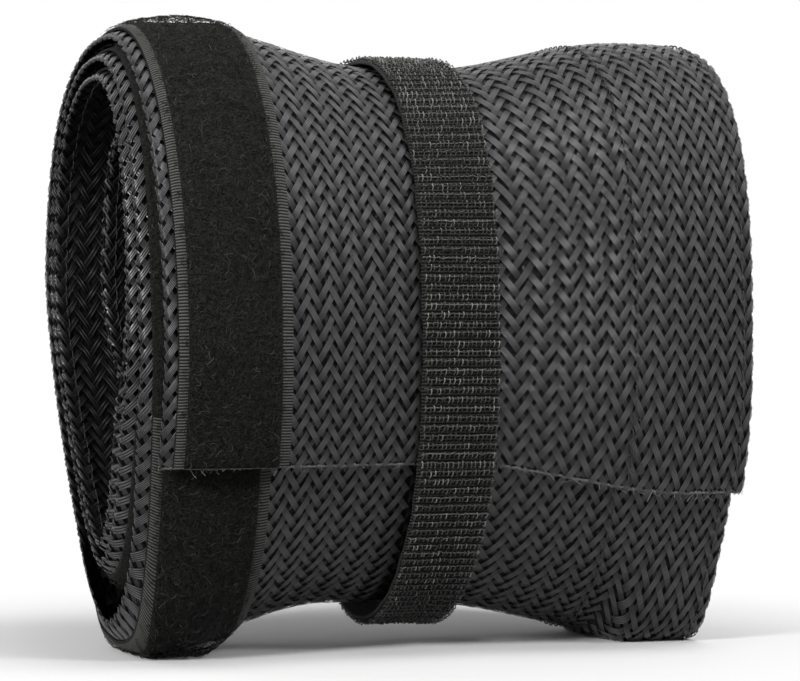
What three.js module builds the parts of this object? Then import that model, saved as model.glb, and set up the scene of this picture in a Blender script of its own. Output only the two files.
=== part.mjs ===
// Hook and loop cable sleeve, rolled up for sale and held by a hook and loop strap.
// A flattened braided tube carries loop tape along one edge of its outer face and hook tape
// along the other edge of its inner face, so that its two edges close around a bundle of
// cables. Here the whole length is rolled into an oval coil with its free end at the front.
// The strap pinches the coil's waist, and both ends flare and stand on the ground.
// Millimetres, X along the roll, +Z up, origin on the ground under the middle of the roll.

import * as THREE from "three";

// The flattened braided tube
const sleeveWidth = 135;
const sleeveThickness = 1.2;
const strandRelief = 0.45;
const chevronWidth = 6.2;
const plainMargin = 1.5;

// Loop tape on the outer face and hook tape on the inner face
const tapeWidth = 25;
const tapeInset = 2.5;
const tapeSlope = 3;
const tapeBacking = 0.7;
const loopTapeThickness = 1.6;
const hookTapeThickness = 1.5;
const seamClearance = 0.3;

// The coil: how far the outer face of its outer turn reaches from the middle, in the waist
// and at the flared ends, and where each of the four sides bulges most
const frontReach = { waist: 48.2, left: 54.5, right: 54.5 };
const backReach = { waist: 48.2, left: 54.5, right: 54.5 };
const topReach = { waist: 61.4, left: 70.2, right: 68.7 };
const bottomReach = { waist: 60.2, left: 70.5, right: 71.5 };
const frontPeakHeight = -4;
const backPeakHeight = 14;
const topPeakDepth = -3;
const bottomPeakDepth = -7;

// The soft roll is pressed flat where its flared ends stand on the ground
const groundDrop = 69.9;
const restLength = 26;
const restFade = 18;
const restRange = { left: [41, 52, 63, 69], right: [42, 50, 66, 76] };

// Roundness of the oval's quarters: 2 is an ellipse, more is squarer, less is straighter
const roundness = {
  frontTop: { left: 2.05, right: 2.9 },
  backTop: { left: 2.35, right: 2.2 },
  backBottom: { left: 1.5, right: 2.1 },
  frontBottom: { left: 2.1, right: 2 },
};

// Where the waist widens into the flared ends, and how their rims curl in
const waistCentre = -1;
const flareRange = { left: [6, 52], right: [6.5, 53] };
const bottomFlareRange = { left: [17, 62], right: [0, 70] };
const rimCurlLength = { left: 17, right: 10 };
const rimCurl = {
  left: { side: 1.5, top: 3, bottom: 6.5 },
  right: { side: 1, top: 1, bottom: 1 },
};

// Winding: turns run from the free outer end, 0 at the front, 0.25 at the top
const outerEndTurn = -0.086;
const outerEndHeight = { left: -27.2, right: -34.4 };
const diveStart = 0.8;
const innerEndTurn = 3.8;
const turnClearance = { middle: 0.4, end: 0.95 };
const frontSlack = 3.2;
const bottomSlack = 7.5;
const slackFull = 60;
const edgeSlip = 5.8;
const heartSlip = 1.5;

// The heart of the coil: the last turn is a smaller oval that leans on the front
const heartStart = 2.85;
const heartEnd = 3.45;
const heartFront = -35.5;
const heartBack = 8;
const heartTop = 46;
const heartBottom = -26;
const heartTopPeakDepth = -18;
const heartBottomPeakDepth = -29;
const heartPeakHeight = 12;

// The strap around the waist, with its tail lapped over its start under the roll
const strapWidth = 18;
const strapThickness = 2.1;
const strapCentre = -0.4;
const strapStartTurn = 0.4;
const strapOverlapTurns = 0.2;
const strapSag = 2.6;
const strapClearance = 0.3;

// Facets
const stationsPerTurn = 36;
const innerStationsPerTurn = 18;
const rowsPerStation = 2;
const tangentStep = 1e-4;

const layerPitch = {
  middle: sleeveThickness + turnClearance.middle,
  end: sleeveThickness + seamClearance + loopTapeThickness + turnClearance.end,
};
const sleeveEdge = sleeveWidth / 2;
const loopTapeStart = -sleeveEdge + tapeInset;
const loopTapeEnd = loopTapeStart + tapeWidth;
const hookTapeEnd = sleeveEdge - tapeInset;
const hookTapeStart = hookTapeEnd - tapeWidth;
const tapeColumns = (start) => [
  start, start + tapeSlope, start + tapeWidth / 2, start + tapeWidth - tapeSlope,
  start + tapeWidth,
];

function smooth(value, low, high) {
  return THREE.MathUtils.smoothstep(value, low, high);
}

// A size that changes from the left end of the roll to its right end
function along(ends, x) {
  const share = THREE.MathUtils.clamp(0.5 + x / sleeveWidth, 0, 1);
  return THREE.MathUtils.lerp(ends.left, ends.right, share);
}

// A side's reach at x, from the waist out to the flared end
function reachAt(reach, range, x) {
  const end = x < waistCentre ? "left" : "right";
  const flare = smooth(Math.abs(x - waistCentre), ...range[end]);
  return THREE.MathUtils.lerp(reach.waist, reach[end], flare);
}

// How many layers lie over a turn: it dives under the next one before a full turn is wound
function layersAbove(turn) {
  const wound = Math.max(0, turn - outerEndTurn);
  return Math.floor(wound) + smooth(wound % 1, diveStart, 1);
}

// How far a turn's face lies inside the outer turn's, at an end of the roll and in its waist
function inwardOffset(x, turn) {
  const reach = Math.abs(x - waistCentre);
  const taped = smooth(reach, strapWidth / 2, Math.min(-loopTapeEnd, hookTapeStart) - 3);
  const pitch = THREE.MathUtils.lerp(layerPitch.middle, layerPitch.end, taped);
  const angle = 2 * Math.PI * turn;
  const frontShare = Math.max(0, Math.cos(angle)) ** 2;
  const bottomShare = Math.max(0, -Math.sin(angle)) ** 2;
  const slack = (frontSlack * frontShare + bottomSlack * bottomShare) * smooth(turn, 0.78, 1.1);
  return pitch * layersAbove(turn) + slack * smooth(reach, 0, slackFull);
}

// The layers spread towards the left end as they are wound, which steps their edges there
function axialSlip(xLocal, turn) {
  const wound = edgeSlip * (1 - Math.exp(-0.93 * Math.max(0, turn)));
  const atFront = (1 + Math.cos(2 * Math.PI * turn)) / 2;
  const atLeft = 0.5 - xLocal / sleeveWidth;
  const inHeart = smooth(turn, heartStart, heartEnd);
  return atLeft * (heartSlip * inHeart - wound * atFront * smooth(turn, 0.5, 1) * (1 - inHeart));
}

// Outer face of the sleeve in the roll's cross-section at x: depth y and height z
function sectionPoint(x, turn) {
  const angle = 2 * Math.PI * turn;
  const across = Math.cos(angle);
  const up = Math.sin(angle);
  const end = x < 0 ? "left" : "right";
  const { side, top: above, bottom: below } = rimCurl[end];
  const rim = side + Math.max(0, up) * (above - side) + Math.max(0, -up) * (below - side);
  const curled = rim * Math.max(0, 1 - (sleeveEdge - Math.abs(x)) / rimCurlLength[end]) ** 2;
  const inward = inwardOffset(x, turn) + curled;
  const front = across >= 0;
  const top = up >= 0;
  const quarter = (front ? "front" : "back") + (top ? "Top" : "Bottom");
  const power = along(roundness[quarter], x);
  const inHeart = smooth(turn, heartStart, heartEnd);
  const lean = (regular, heart) => THREE.MathUtils.lerp(regular, heart, inHeart);
  const y0 = lean(
    top ? topPeakDepth : bottomPeakDepth,
    top ? heartTopPeakDepth : heartBottomPeakDepth,
  );
  const z0 = lean(front ? frontPeakHeight : backPeakHeight, heartPeakHeight);
  const y1 = front
    ? lean(inward - reachAt(frontReach, flareRange, x), heartFront + curled)
    : lean(reachAt(backReach, flareRange, x) - inward, heartBack - curled);
  const z1 = top
    ? lean(reachAt(topReach, flareRange, x) - inward, heartTop - curled)
    : lean(inward - reachAt(bottomReach, bottomFlareRange, x), heartBottom + curled);
  const radius = (Math.abs(across / (y1 - y0)) ** power + Math.abs(up / (z1 - z0)) ** power)
    ** (-1 / power);
  const y = y0 + Math.sign(y1 - y0) * radius * Math.abs(across);
  const z = z0 + Math.sign(z1 - z0) * radius * Math.abs(up);
  return { y, z };
}

// How fully the outer turn's underside is pressed on the ground at x and depth y, from 0 to 1
function restShare(x, y) {
  const [rise, full, stay, gone] = restRange[x < 0 ? "left" : "right"];
  const outwards = Math.abs(x);
  const lengthwise = smooth(outwards, rise, full) * (1 - smooth(outwards, stay, gone));
  const half = restLength / 2;
  return lengthwise * (1 - smooth(Math.abs(y - bottomPeakDepth), half, half + restFade));
}

// The sleeve's outer face with the outer turn pressed flat where the roll stands
function restedPoint(xLocal, turn) {
  const x = xLocal + axialSlip(xLocal, turn);
  const { y, z } = sectionPoint(x, turn);
  if (turn > 0.9 || z > 0) return new THREE.Vector3(x, y, z);
  const share = restShare(x, y);
  const taped = xLocal > loopTapeStart - tapeInset && xLocal < loopTapeEnd + tapeInset;
  const cover = taped ? seamClearance + loopTapeThickness : strandRelief * (1 - share);
  const lowest = cover - groundDrop;
  return new THREE.Vector3(x, y, Math.max(THREE.MathUtils.lerp(z, lowest, share), lowest));
}

// A point of the wound sleeve: offset is measured outwards from the sleeve's outer face
function woundPoint(xLocal, turn, offset) {
  const point = restedPoint(xLocal, turn);
  const before = restedPoint(xLocal, turn - tangentStep);
  const after = restedPoint(xLocal, turn + tangentStep);
  const outward = new THREE.Vector3(0, before.z - after.z, after.y - before.y).normalize();
  return point.addScaledVector(outward, offset);
}

// Stations along the winding, close together over the outer turn and wider apart inside it
function stationTurns(first, last, fineEnd = outerEndTurn + 1) {
  const turns = [first];
  const every = stationsPerTurn / innerStationsPerTurn;
  let k = Math.ceil(first * stationsPerTurn + 0.3);
  while (k < last * stationsPerTurn - 0.3) {
    turns.push(k / stationsPerTurn);
    k += k < fineEnd * stationsPerTurn + 1 || k % every !== 0 ? 1 : every;
  }
  turns.push(last);
  return turns;
}

// A closed solid made of bands between neighbouring lines of points
class BandSolid {
  constructor() {
    this.positions = [];
    this.triangles = [];
  }

  // Adds a line of points, each with its share from 0 to 1 along the line
  line(points, shares) {
    return points.map((point, i) => {
      this.positions.push(point.x, point.y, point.z);
      return { index: this.positions.length / 3 - 1, share: shares[i] };
    });
  }

  // Joins two lines by triangles, whatever the number of points in each. Where both lines have
  // a next point at the same share, tie says how much sooner the first line's is taken.
  band(a, b, tie = 1e-9) {
    let i = 0;
    let j = 0;
    while (i < a.length - 1 || j < b.length - 1) {
      const stepA = j === b.length - 1
        || (i < a.length - 1 && a[i + 1].share <= b[j + 1].share + tie);
      if (stepA) {
        this.triangles.push(a[i].index, a[i + 1].index, b[j].index);
        i += 1;
      } else {
        this.triangles.push(a[i].index, b[j + 1].index, b[j].index);
        j += 1;
      }
    }
  }

  // Joins two lines that have a third between them, which skips their first points
  bandAround(a, between, b) {
    const start = between.skipped;
    this.band(a.slice(0, start), b.slice(0, start));
    this.triangles.push(a[start - 1].index, a[start].index, between[0].index);
    this.triangles.push(a[start - 1].index, between[0].index, b[start - 1].index);
    this.triangles.push(between[0].index, b[start].index, b[start - 1].index);
    this.band(a.slice(start), between);
    this.band(between, b.slice(start));
  }

  // Joins the lines one after another into a face, or into one that faces the other way with
  // its facets cut along the same diagonals
  face(lines) {
    for (let k = 0; k < lines.length - 1; k += 1) {
      if (lines[k + 1].skipped) {
        this.bandAround(lines[k], lines[k + 1], lines[k + 2]);
        k += 1;
      } else {
        this.band(lines[k], lines[k + 1]);
      }
    }
  }

  facingBack(lines) {
    for (let k = 0; k < lines.length - 1; k += 1) this.band(lines[k + 1], lines[k], -1e-9);
  }

  geometry() {
    const made = new THREE.BufferGeometry();
    made.setAttribute("position", new THREE.Float32BufferAttribute(this.positions, 3));
    made.setIndex(this.triangles);
    made.computeVertexNormals();
    return made;
  }
}

// The ends of lines as one line, for a side wall: which is "first" or "last"
function edgeOf(lines, which) {
  const reaching = lines.filter((line) => which === "last" || !line.skipped);
  return reaching.map((line) => ({
    index: which === "first" ? line[0].index : line[line.length - 1].index,
    share: line.turn,
  }));
}

// Closes a wound strip from its outer and inner faces' lines, both running along x
function closeStrip(solid, outer, inner) {
  solid.face(outer);
  solid.facingBack(inner);
  solid.band(edgeOf(outer, "first"), edgeOf(inner, "first"));
  solid.band(edgeOf(inner, "last"), edgeOf(outer, "last"));
  solid.band(inner[0], outer[0]);
  solid.band(outer[outer.length - 1], inner[inner.length - 1]);
  return solid.geometry();
}

// One line of a strip's face across its width at a turn: profile holds [x, offset] pairs
function faceLine(solid, profile, place) {
  const low = profile[0][0];
  const span = profile[profile.length - 1][0] - low;
  const points = profile.map(([x, offset]) => place(x, offset));
  return solid.line(points, profile.map(([x]) => (x - low) / span));
}

// The free outer end is cut a little aslant over its right half
function cutTurn(xLocal, turn) {
  const slant = smooth(xLocal, 0, sleeveWidth * 0.4);
  const height = THREE.MathUtils.lerp(outerEndHeight.left, outerEndHeight.right, slant);
  let low = outerEndTurn - 0.05;
  let high = outerEndTurn + 0.05;
  while (high - low > tangentStep) {
    const half = (low + high) / 2;
    if (sectionPoint(xLocal, half).z < height) low = half;
    else high = half;
  }
  const share = THREE.MathUtils.clamp(1 - (turn - outerEndTurn) * stationsPerTurn / 3, 0, 1);
  return turn + share * (low - outerEndTurn);
}

// Columns across the braid: plain under the tape, then chevrons to the far edge
function braidColumns() {
  const start = loopTapeEnd + plainMargin;
  const count = Math.round((sleeveEdge - start) / chevronWidth);
  const covered = [-sleeveEdge, ...tapeColumns(loopTapeStart)];
  const columns = covered.map((x) => ({ x, raised: 0, shift: 0 }));
  for (let i = 0; i <= count; i += 1) {
    const edge = i === 0 || i === count;
    columns.push({
      x: start + ((sleeveEdge - start) * i) / count,
      raised: edge ? 0 : 1,
      shift: edge ? 0 : i % 2,
    });
  }
  return columns;
}

// The outer face of the visible turn, where raised strands zigzag into columns of chevrons.
// Only every second strand of the real braid is drawn. The lines that carry the crests start
// past the tape, so that the face under it stays plain.
function chevronLines(solid, turns, columns) {
  const plainCount = tapeColumns(loopTapeStart).length;
  const rows = (turns.length - 1) * rowsPerStation;
  const lines = [];
  for (let row = 0; row <= rows; row += 1) {
    const underside = Math.abs(turns[0] + row / rowsPerStation / stationsPerTurn - 0.75);
    const settle = smooth(Math.min(row, rows - row), 0, 4 * rowsPerStation)
      * smooth(underside, 0.06, 0.14);
    const crest = row % 2 === 1 ? strandRelief : 0;
    const relief = (x, turn) => {
      const { y, z } = sectionPoint(x, turn);
      return z > 0 ? crest : crest * (1 - restShare(x, y));
    };
    const skipped = row % rowsPerStation ? plainCount : 0;
    const reached = columns.slice(skipped);
    const points = reached.map(({ x, raised, shift }) => {
      const place = (row + shift * rowsPerStation * settle) / rowsPerStation;
      const k = Math.min(Math.floor(place), turns.length - 2);
      const from = woundPoint(x, cutTurn(x, turns[k]), raised * relief(x, turns[k]));
      const to = woundPoint(x, cutTurn(x, turns[k + 1]), raised * relief(x, turns[k + 1]));
      return from.lerp(to, place - k);
    });
    const shares = reached.map(({ x }) => (x + sleeveEdge) / sleeveWidth);
    const line = solid.line(points, shares);
    line.skipped = skipped;
    line.turn = turns[0] + ((turns[turns.length - 1] - turns[0]) * row) / rows;
    lines.push(line);
  }
  return lines;
}

// Sizes across the sleeve where its plain faces get a line of points
function plainColumns() {
  const leftSlope = (loopTapeEnd + waistCentre) / 2;
  const rightSlope = (hookTapeStart + waistCentre) / 2;
  return [
    -sleeveEdge, ...tapeColumns(loopTapeStart), leftSlope, waistCentre, rightSlope,
    ...tapeColumns(hookTapeStart), sleeveEdge,
  ];
}

function braidedSleeve() {
  const solid = new BandSolid();
  const turns = stationTurns(outerEndTurn, innerEndTurn);
  const covered = turns.findIndex((turn) => turn > outerEndTurn + 1 + 1 / stationsPerTurn);
  const plain = plainColumns().map((x) => [x, 0]);
  const plainInner = plain.map(([x]) => [x, -sleeveThickness]);
  const outer = chevronLines(solid, turns.slice(0, covered), braidColumns());
  for (const turn of turns.slice(covered)) {
    const line = faceLine(solid, plain, (x, offset) => woundPoint(x, turn, offset));
    line.turn = turn;
    outer.push(line);
  }
  const inner = turns.map((turn) => {
    const place = (x, offset) => woundPoint(x, cutTurn(x, turn), offset);
    const line = faceLine(solid, plainInner, place);
    line.turn = turn;
    return line;
  });
  return closeStrip(solid, outer, inner);
}

// A tape sewn to the sleeve: thin at its selvedges, with pile or hooks standing between them.
// side is 1 on the sleeve's outer face and -1 on its inner face.
function sewnTape(start, thickness, side) {
  const solid = new BandSolid();
  const face = side > 0 ? 0 : -sleeveThickness;
  const under = face + side * seamClearance;
  const thin = under + side * tapeBacking;
  const full = under + side * thickness;
  const columns = tapeColumns(start);
  const standing = columns.map((x, i) => [x, i % 4 === 0 ? thin : full]);
  const flat = columns.map((x) => [x, under]);
  const turns = stationTurns(outerEndTurn, innerEndTurn);
  const lines = (profile) => turns.map((turn) => {
    const place = (x, offset) => woundPoint(x, cutTurn(x, turn), offset);
    const line = faceLine(solid, profile, place);
    line.turn = turn;
    return line;
  });
  const [outer, inner] = side > 0 ? [standing, flat] : [flat, standing];
  return closeStrip(solid, lines(outer), lines(inner));
}

// The strap's path lies on the outer turn and sags under the roll, where its tail overlaps
function strapPoint(x, turn, offset) {
  const local = THREE.MathUtils.euclideanModulo(turn - outerEndTurn, 1) + outerEndTurn;
  const at = (t) => {
    const { y, z } = sectionPoint(x, t);
    return { y, z: z - (t > 0.5 ? strapSag * smooth(-Math.sin(2 * Math.PI * t), 0.2, 0.9) : 0) };
  };
  const lapping = smooth(turn, strapStartTurn + 0.9, strapStartTurn + 0.97);
  const pastEnd = smooth(local, 1 + outerEndTurn - 0.12, 1 + outerEndTurn);
  const lift = strapClearance + strandRelief + inwardOffset(x, local) * pastEnd
    + lapping * (strapThickness + strapClearance);
  const point = at(local);
  const before = at(local - tangentStep);
  const after = at(local + tangentStep);
  const outward = new THREE.Vector3(0, before.z - after.z, after.y - before.y).normalize();
  return new THREE.Vector3(x, point.y, point.z).addScaledVector(outward, lift + offset);
}

function tieStrap() {
  const solid = new BandSolid();
  const left = strapCentre - strapWidth / 2;
  const right = strapCentre + strapWidth / 2;
  const bevel = 0.8;
  const top = [[left, strapThickness - bevel], [left + bevel, strapThickness],
    [right - bevel, strapThickness], [right, strapThickness - bevel]];
  const bottom = [[left, 0], [right, 0]];
  const end = strapStartTurn + 1 + strapOverlapTurns;
  const turns = stationTurns(strapStartTurn, end, end);
  const lines = (profile) => turns.map((turn) => {
    const line = faceLine(solid, profile, (x, offset) => strapPoint(x, turn, offset));
    line.turn = turn;
    return line;
  });
  return closeStrip(solid, lines(top), lines(bottom));
}

function material(colour, roughness) {
  return new THREE.MeshStandardMaterial({ color: colour, roughness, metalness: 0 });
}

const materials = {
  braid: material(0x2b2b2d, 0.45),
  loop: material(0x1c1c1c, 0.95),
  hook: material(0x222222, 0.7),
  strap: material(0x202021, 0.75),
};

const roll = new THREE.Group();
const pieces = [
  ["braided_sleeve", braidedSleeve(), materials.braid],
  ["loop_tape", sewnTape(loopTapeStart, loopTapeThickness, 1), materials.loop],
  ["hook_tape", sewnTape(hookTapeStart, hookTapeThickness, -1), materials.hook],
  ["tie_strap", tieStrap(), materials.strap],
];
for (const [name, geometry, surface] of pieces) {
  const mesh = new THREE.Mesh(geometry, surface);
  mesh.name = name;
  roll.add(mesh);
}

// The roll stands on the ground with the middle of its outline over the origin
const outline = new THREE.Box3().setFromObject(roll, true);
const middle = outline.getCenter(new THREE.Vector3());
roll.position.set(-middle.x, -middle.y, -outline.min.z);

export default roll;
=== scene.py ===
"""Hook and loop cable sleeve, rolled up for sale and held by a hook and loop strap.

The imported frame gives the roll's place and size. This script winds the same sleeve again as
what it is made of: flat ribbons of braided monofilament, loop pile, rows of hooks and sewing
thread. Then it lights and frames the roll as in the photograph.

Points along the sleeve are given in millimetres as x across its width, the length wound from
the free end, and an offset outwards from its outer face.
"""

from __future__ import annotations

import logging
import math
from dataclasses import dataclass, field
from enum import Enum

import bpy
import numpy as np
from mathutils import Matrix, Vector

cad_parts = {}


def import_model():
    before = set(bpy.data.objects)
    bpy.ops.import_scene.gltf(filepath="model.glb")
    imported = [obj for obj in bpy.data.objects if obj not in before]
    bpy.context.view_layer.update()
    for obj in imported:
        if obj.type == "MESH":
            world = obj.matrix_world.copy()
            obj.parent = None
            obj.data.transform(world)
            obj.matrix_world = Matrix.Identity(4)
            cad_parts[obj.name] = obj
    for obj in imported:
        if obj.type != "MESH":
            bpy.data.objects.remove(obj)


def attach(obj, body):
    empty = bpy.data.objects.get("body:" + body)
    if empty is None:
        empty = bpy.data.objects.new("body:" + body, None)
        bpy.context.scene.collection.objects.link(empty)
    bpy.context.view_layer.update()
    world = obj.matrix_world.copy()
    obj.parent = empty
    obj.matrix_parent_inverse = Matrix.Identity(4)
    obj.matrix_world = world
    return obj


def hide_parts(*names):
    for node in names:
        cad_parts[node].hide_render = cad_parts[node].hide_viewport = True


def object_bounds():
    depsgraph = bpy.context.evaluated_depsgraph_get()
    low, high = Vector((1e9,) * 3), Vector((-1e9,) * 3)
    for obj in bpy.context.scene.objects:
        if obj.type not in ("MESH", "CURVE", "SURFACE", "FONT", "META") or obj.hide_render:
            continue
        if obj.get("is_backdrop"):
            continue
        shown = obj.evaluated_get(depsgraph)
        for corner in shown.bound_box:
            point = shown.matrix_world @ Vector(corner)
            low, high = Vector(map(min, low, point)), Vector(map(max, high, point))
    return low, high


LOG = logging.getLogger("cable_sleeve")
ROLL_CENTRE = (2.4486, 0.0, 69.9)
MILLIMETRE = 0.001
TAU = 2 * math.pi
# The turn at which the outer turn has gone under the free end
OUTER_END = 0.97
# The turn past which the coil's hollow shows the inner face
HOLLOW_START = 1.93
WHITE = (1.0, 1.0, 1.0, 1.0)


class Slot(Enum):
    """Names of the material slots."""

    BRAID = "braid"
    PILE = "loop_pile"
    HOOKS = "hook_tape"
    STRAP = "hook_strap"


class Cover(Enum):
    """The parts of the wound sleeve whose ribbons are made."""

    OUTSIDE = "outside"
    EDGES = "edges"
    INSIDE = "inside"


class Face(Enum):
    """Which way a side of the flattened tube faces in the roll."""

    OUTER = 1
    INNER = -1


@dataclass(frozen=True)
class Ends:
    """A size at the left end of the roll and at its right end."""

    left: float
    right: float

    def along(self, x: np.ndarray, width: float) -> np.ndarray:
        """The size at x, changing evenly across the width."""
        share = np.clip(0.5 + x / width, 0.0, 1.0)
        return self.left + (self.right - self.left) * share

    def side(self, x: np.ndarray) -> np.ndarray:
        """The size of the end that x is nearer to."""
        return np.where(x < 0, self.left, self.right)


@dataclass(frozen=True)
class Reach:
    """How far one side of the outer turn is from the middle of the roll."""

    waist: float
    ends: Ends
    flare_start: Ends = Ends(6.0, 6.5)
    flare_full: Ends = Ends(52.0, 53.0)


@dataclass(frozen=True)
class CoilSizes:
    """The sizes of the wound sleeve, in millimetres and turns."""

    width: float = 135.0
    thickness: float = 1.2
    relief: float = 0.45
    front: Reach = Reach(48.2, Ends(54.5, 54.5))
    back: Reach = Reach(48.2, Ends(54.5, 54.5))
    top: Reach = Reach(61.4, Ends(70.2, 68.7))
    bottom: Reach = Reach(60.2, Ends(70.5, 71.5), Ends(17.0, 0.0), Ends(62.0, 70.0))
    front_peak: float = -4.0
    back_peak: float = 14.0
    top_peak: float = -3.0
    bottom_peak: float = -7.0
    front_top: Ends = Ends(2.05, 2.9)
    back_top: Ends = Ends(2.35, 2.2)
    back_bottom: Ends = Ends(1.5, 2.1)
    front_bottom: Ends = Ends(2.1, 2.0)
    waist: float = -1.0
    curl_length: Ends = Ends(17.0, 10.0)
    curl_side: Ends = Ends(1.5, 1.0)
    curl_top: Ends = Ends(3.0, 1.0)
    curl_bottom: Ends = Ends(6.5, 1.0)
    ground_drop: float = 69.9
    rest_length: float = 26.0
    rest_fade: float = 18.0
    rest_left: tuple[float, ...] = (41.0, 52.0, 63.0, 69.0)
    rest_right: tuple[float, ...] = (42.0, 50.0, 66.0, 76.0)
    first_turn: float = -0.086
    last_turn: float = 3.8
    cut_height: Ends = Ends(-27.2, -34.4)
    dive_start: float = 0.8
    pitch_middle: float = 1.6
    pitch_end: float = 4.05
    pitch_range: tuple[float, float] = (9.0, 37.0)
    front_slack: float = 3.2
    bottom_slack: float = 7.5
    slack_full: float = 60.0
    edge_slip: float = 5.8
    heart_slip: float = 1.5
    heart_range: tuple[float, float] = (2.85, 3.45)
    heart_front: float = -35.5
    heart_back: float = 8.0
    heart_top: float = 46.0
    heart_bottom: float = -26.0
    heart_top_peak: float = -18.0
    heart_bottom_peak: float = -29.0
    heart_peak: float = 12.0
    tape_width: float = 25.0
    tape_inset: float = 2.5
    tape_gap: float = 0.3
    loop_thickness: float = 1.6


def smooth(value: np.ndarray, low, high) -> np.ndarray:
    """Rises from 0 at low to 1 at high without a kink."""
    share = np.clip((value - low) / (high - low), 0.0, 1.0)
    return share * share * (3.0 - 2.0 * share)


def mix(start, end, share) -> np.ndarray:
    """From start to end by share."""
    return start + (end - start) * share


class Coil:
    """The wound sleeve as a surface that other parts are laid on."""

    def __init__(self, sizes: CoilSizes) -> None:
        self.sizes = sizes
        self.edge = sizes.width / 2
        self.ground = -sizes.ground_drop + 0.02
        self._cut_x = np.linspace(-self.edge - 3, self.edge + 3, 141)
        self._cut_turns = self._find_cut(self._cut_x)
        self._turns = np.linspace(sizes.first_turn - 0.02, sizes.last_turn, 4201)
        self._lengths = self._measure(self._turns)
        self.length = float(self._lengths[-1])

    def layers_above(self, turn: np.ndarray) -> np.ndarray:
        """How many layers lie over a turn, which dives under the next before a full turn."""
        wound = np.maximum(0.0, turn - self.sizes.first_turn)
        whole = np.floor(wound)
        return whole + smooth(wound - whole, self.sizes.dive_start, 1.0)

    def inward(self, x: np.ndarray, turn: np.ndarray) -> np.ndarray:
        """How far a turn's face lies inside the outer turn's."""
        s = self.sizes
        reach = np.abs(x - s.waist)
        pitch = mix(s.pitch_middle, s.pitch_end, smooth(reach, *s.pitch_range))
        front = np.maximum(0.0, np.cos(TAU * turn)) ** 2
        bottom = np.maximum(0.0, -np.sin(TAU * turn)) ** 2
        slack = (s.front_slack * front + s.bottom_slack * bottom) * smooth(turn, 0.78, 1.1)
        return pitch * self.layers_above(turn) + slack * smooth(reach, 0.0, s.slack_full)

    def slip(self, x: np.ndarray, turn: np.ndarray) -> np.ndarray:
        """How far the wound layers have spread along the roll."""
        s = self.sizes
        wound = s.edge_slip * (1 - np.exp(-0.93 * np.maximum(0.0, turn)))
        at_front = (1 + np.cos(TAU * turn)) / 2
        heart = smooth(turn, *s.heart_range)
        spread = wound * at_front * smooth(turn, 0.5, 1.0) * (1 - heart)
        return (0.5 - x / s.width) * (s.heart_slip * heart - spread)

    def _reach(self, reach: Reach, x: np.ndarray) -> np.ndarray:
        """One side's reach at x, from the waist out to the flared end."""
        left = x < self.sizes.waist
        start = np.where(left, reach.flare_start.left, reach.flare_start.right)
        full = np.where(left, reach.flare_full.left, reach.flare_full.right)
        end = np.where(left, reach.ends.left, reach.ends.right)
        return mix(reach.waist, end, smooth(np.abs(x - self.sizes.waist), start, full))

    def section(self, x: np.ndarray, turn: np.ndarray) -> tuple[np.ndarray, np.ndarray]:
        """Depth and height of the sleeve's outer face in the roll's cross-section at x."""
        s = self.sizes
        across, up = np.cos(TAU * turn), np.sin(TAU * turn)
        side, above, below = (c.side(x) for c in (s.curl_side, s.curl_top, s.curl_bottom))
        rim = side + np.maximum(0, up) * (above - side) + np.maximum(0, -up) * (below - side)
        to_edge = 1 - (self.edge - np.abs(x)) / s.curl_length.side(x)
        curled = rim * np.maximum(0.0, to_edge) ** 2
        inward = self.inward(x, turn) + curled
        front, top = across >= 0, up >= 0
        power = np.where(
            front,
            np.where(top, s.front_top.along(x, s.width), s.front_bottom.along(x, s.width)),
            np.where(top, s.back_top.along(x, s.width), s.back_bottom.along(x, s.width)),
        )
        heart = smooth(turn, *s.heart_range)
        y0 = mix(
            np.where(top, s.top_peak, s.bottom_peak),
            np.where(top, s.heart_top_peak, s.heart_bottom_peak),
            heart,
        )
        z0 = mix(np.where(front, s.front_peak, s.back_peak), s.heart_peak, heart)
        y1 = np.where(
            front,
            mix(inward - self._reach(s.front, x), s.heart_front + curled, heart),
            mix(self._reach(s.back, x) - inward, s.heart_back - curled, heart),
        )
        z1 = np.where(
            top,
            mix(self._reach(s.top, x) - inward, s.heart_top - curled, heart),
            mix(inward - self._reach(s.bottom, x), s.heart_bottom + curled, heart),
        )
        radius = (
            np.abs(across / (y1 - y0)) ** power + np.abs(up / (z1 - z0)) ** power
        ) ** (-1 / power)
        y = y0 + np.sign(y1 - y0) * radius * np.abs(across)
        z = z0 + np.sign(z1 - z0) * radius * np.abs(up)
        return y, z

    def _rested(self, x_local: np.ndarray, turn: np.ndarray) -> np.ndarray:
        """The outer face with the outer turn pressed flat where the roll stands."""
        s = self.sizes
        x = x_local + self.slip(x_local, turn)
        y, z = self.section(x, turn)
        outwards = np.abs(x)
        rise, full, stay, gone = (
            np.where(x < 0, a, b) for a, b in zip(s.rest_left, s.rest_right)
        )
        lengthwise = smooth(outwards, rise, full) * (1 - smooth(outwards, stay, gone))
        half = s.rest_length / 2
        depth = np.abs(y - s.bottom_peak)
        share = lengthwise * (1 - smooth(depth, half, half + s.rest_fade))
        tape_start = -self.edge + s.tape_inset
        margin = s.tape_inset
        taped = (x_local > tape_start - margin) & (
            x_local < tape_start + s.tape_width + margin
        )
        cover = np.where(taped, s.tape_gap + s.loop_thickness, s.relief * (1 - share))
        lowest = cover - s.ground_drop
        pressed = np.maximum(mix(z, lowest, share), lowest)
        z = np.where((turn > 0.9) | (z > 0), z, pressed)
        return np.stack([np.broadcast_to(x, y.shape), y, z], axis=-1)

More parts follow.
